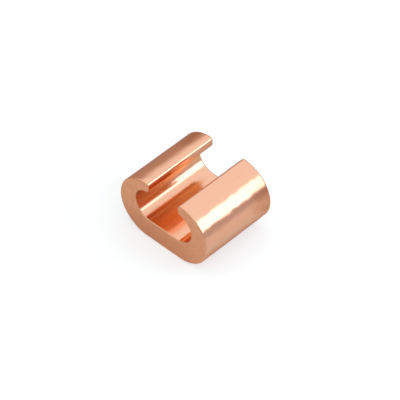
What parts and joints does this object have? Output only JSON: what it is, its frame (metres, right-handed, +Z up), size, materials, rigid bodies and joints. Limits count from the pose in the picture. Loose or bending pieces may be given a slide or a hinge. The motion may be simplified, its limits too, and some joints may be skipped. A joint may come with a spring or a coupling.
{
  "type": "c-tap connector",
  "caption": "Bare copper C-section crimp connector with round bays side by side behind an open mouth, for joining a tap wire to a running conductor.",
  "frame": {"origin": "middle of the flat base, half way along the connector", "axes": "+X across the section from one bay to the other, +Y along the conductors, +Z up from the base out of the mouth"},
  "size_m": [0.0242, 0.019, 0.0149],
  "materials": {
    "copper": "bare drawn copper, bright and lightly lined along its length outside and in the bays, satin sawn ends"
  },
  "bodies": {
    "root": {"c_tap_body": "copper"}
  },
  "joints": []
}
